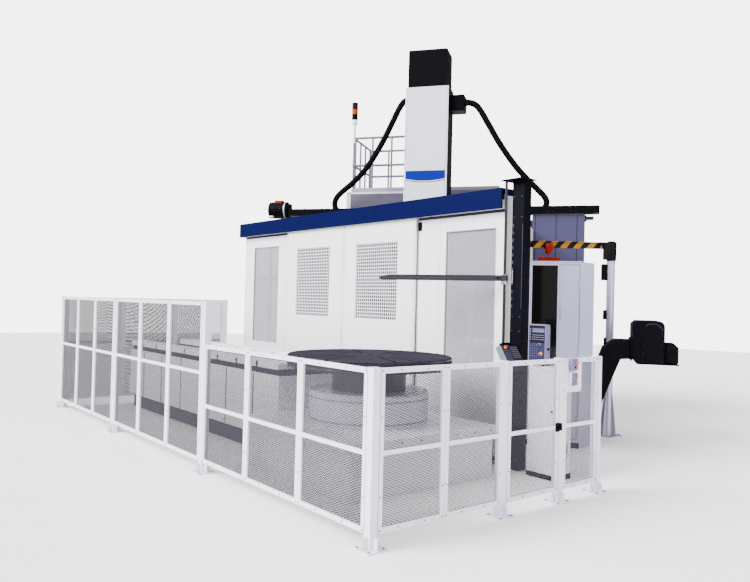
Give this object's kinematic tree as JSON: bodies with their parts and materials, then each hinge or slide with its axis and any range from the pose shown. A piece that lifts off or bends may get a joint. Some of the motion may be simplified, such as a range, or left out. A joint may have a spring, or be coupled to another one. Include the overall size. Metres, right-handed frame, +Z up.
{
  "type": "vertical boring mill",
  "caption": "Vertical boring mill with a ram above a sliding-door enclosure, a round front faceplate on a transfer bed, chip conveyor, jib crane and a mesh guard fence.",
  "frame": {"origin": "on the floor, under the turning axis of the front table", "axes": "+X to the right along the enclosure's front wall, +Y from the operator's side to the machine, +Z up"},
  "size_m": [9.11, 9.0108, 6.77],
  "materials": {
    "machine_paint": "semi-gloss lilac-grey enamel",
    "ram_paint": "semi-gloss light lilac enamel",
    "wall_paint": "semi-gloss warm white enamel",
    "white_paint": "semi-gloss white powder coat",
    "fascia_blue": "semi-gloss deep blue enamel",
    "navy_paint": "satin navy enamel",
    "cabinet_paint": "semi-gloss light lilac enamel",
    "charcoal_paint": "satin charcoal enamel",
    "hazard_paint": "yellow enamel with black stripes",
    "red_paint": "semi-gloss red enamel",
    "table_iron": "finely turned cast iron, oiled",
    "dark_iron": "dark oiled cast iron",
    "bright_steel": "ground and oiled steel",
    "blued_steel": "blued steel, satin",
    "tube_steel": "galvanised tube, matt",
    "expanded_mesh": "white powder-coated expanded metal",
    "screen_steel": "warm white painted perforated sheet",
    "window_glass": "clear laminated safety glass with a pale tint",
    "smoked_panel": "dark smoked polycarbonate",
    "hose_rubber": "matt black ribbed hose",
    "lamp_plastic": "stacked lamp lenses on a white base",
    "panel_plastic": "matt dark navy console",
    "switch_plastic": "matt grey switch housing"
  },
  "bodies": {
    "mill": {"bed_covers": "white_paint", "cabinet_window": "smoked_panel", "cable_box": "charcoal_paint", "cable_tray": "charcoal_paint", "column_left": "machine_paint", "column_right": "machine_paint", "conveyor_head": "charcoal_paint", "conveyor_trough": "charcoal_paint", "crossrail": "machine_paint", "desk": "panel_plastic", "door_rail": "bright_steel", "enclosure_left": "wall_paint", "enclosure_right": "wall_paint", "fascia": "fascia_blue", "fence_frames": "white_paint", "fence_mesh": "expanded_mesh", "fence_posts": "white_paint", "gauge_rod": "blued_steel", "hose_left": "hose_rubber", "hose_right": "hose_rubber", "inner_table": "table_iron", "jib_post": "tube_steel", "machine_bed": "machine_paint", "operator_panel": "panel_plastic", "pedestal": "white_paint", "pillar": "navy_paint", "platform": "machine_paint", "platform_railing": "tube_steel", "ram_bar": "bright_steel", "ram_cap": "charcoal_paint", "ram_cover": "ram_paint", "rear_bridge": "machine_paint", "saddle": "machine_paint", "signal_lamp": "lamp_plastic", "station_base": "white_paint", "station_drum": "ram_paint", "switch_box": "switch_plastic", "tool_cabinet": "cabinet_paint", "top_hood": "machine_paint", "transfer_bed": "charcoal_paint", "tray_motor": "charcoal_paint", "wall_beams": "wall_paint", "wall_posts": "wall_paint", "wall_side_panels": "wall_paint", "wall_windows": "window_glass"},
    "table_spin": {"front_table": "table_iron", "table_neck": "dark_iron"},
    "left_leaf": {"door_left": "wall_paint", "door_left_screen": "screen_steel"},
    "right_leaf": {"door_right": "wall_paint", "door_right_screen": "screen_steel"},
    "gate": {"gate_frame": "white_paint", "gate_mesh": "expanded_mesh"},
    "gauge_slider": {"gauge_collar": "blued_steel"},
    "gauge_swinger": {"gauge_arm": "blued_steel"},
    "cabinet_leaf": {"cabinet_door": "cabinet_paint"},
    "jib_swinger": {"jib_beam": "hazard_paint"},
    "trolley": {"jib_trolley": "red_paint"}
  },
  "joints": [
    {"name": "table_turn", "type": "hinge", "parent": "mill", "child": "table_spin", "pos_m": [0, 0, 1.1], "axis": [0, 0, 1], "continuous": true},
    {"name": "left_door_slide", "type": "slide", "parent": "mill", "child": "left_leaf", "axis": [-1, 0, 0], "range_m": [0, 1.6]},
    {"name": "right_door_slide", "type": "slide", "parent": "mill", "child": "right_leaf", "axis": [1, 0, 0], "range_m": [0, 1.6]},
    {"name": "gate_hinge", "type": "hinge", "parent": "mill", "child": "gate", "pos_m": [2.248, -0.06, 0.79], "axis": [0, 0, -1], "range_deg": [0, 100]},
    {"name": "gauge_height", "type": "slide", "parent": "mill", "child": "gauge_slider", "axis": [0, 0, 1], "range_m": [-0.6, 1]},
    {"name": "gauge_swing", "type": "hinge", "parent": "gauge_slider", "child": "gauge_swinger", "pos_m": [0.88, 1.43, 2.378], "axis": [0, 0, 1], "range_deg": [-26, 90]},
    {"name": "cabinet_hinge", "type": "hinge", "parent": "mill", "child": "cabinet_leaf", "pos_m": [0.6796, 3.3131, 1.4], "axis": [0, 0, 1], "range_deg": [0, 110]},
    {"name": "jib_swing", "type": "hinge", "parent": "mill", "child": "jib_swinger", "pos_m": [0.33, 4.64, 2.9], "axis": [0, 0, 1], "range_deg": [0, 150]},
    {"name": "trolley_run", "type": "slide", "parent": "jib_swinger", "child": "trolley", "axis": [-0.6293, -0.7771, 0], "range_m": [-0.65, 0.15]}
  ]
}
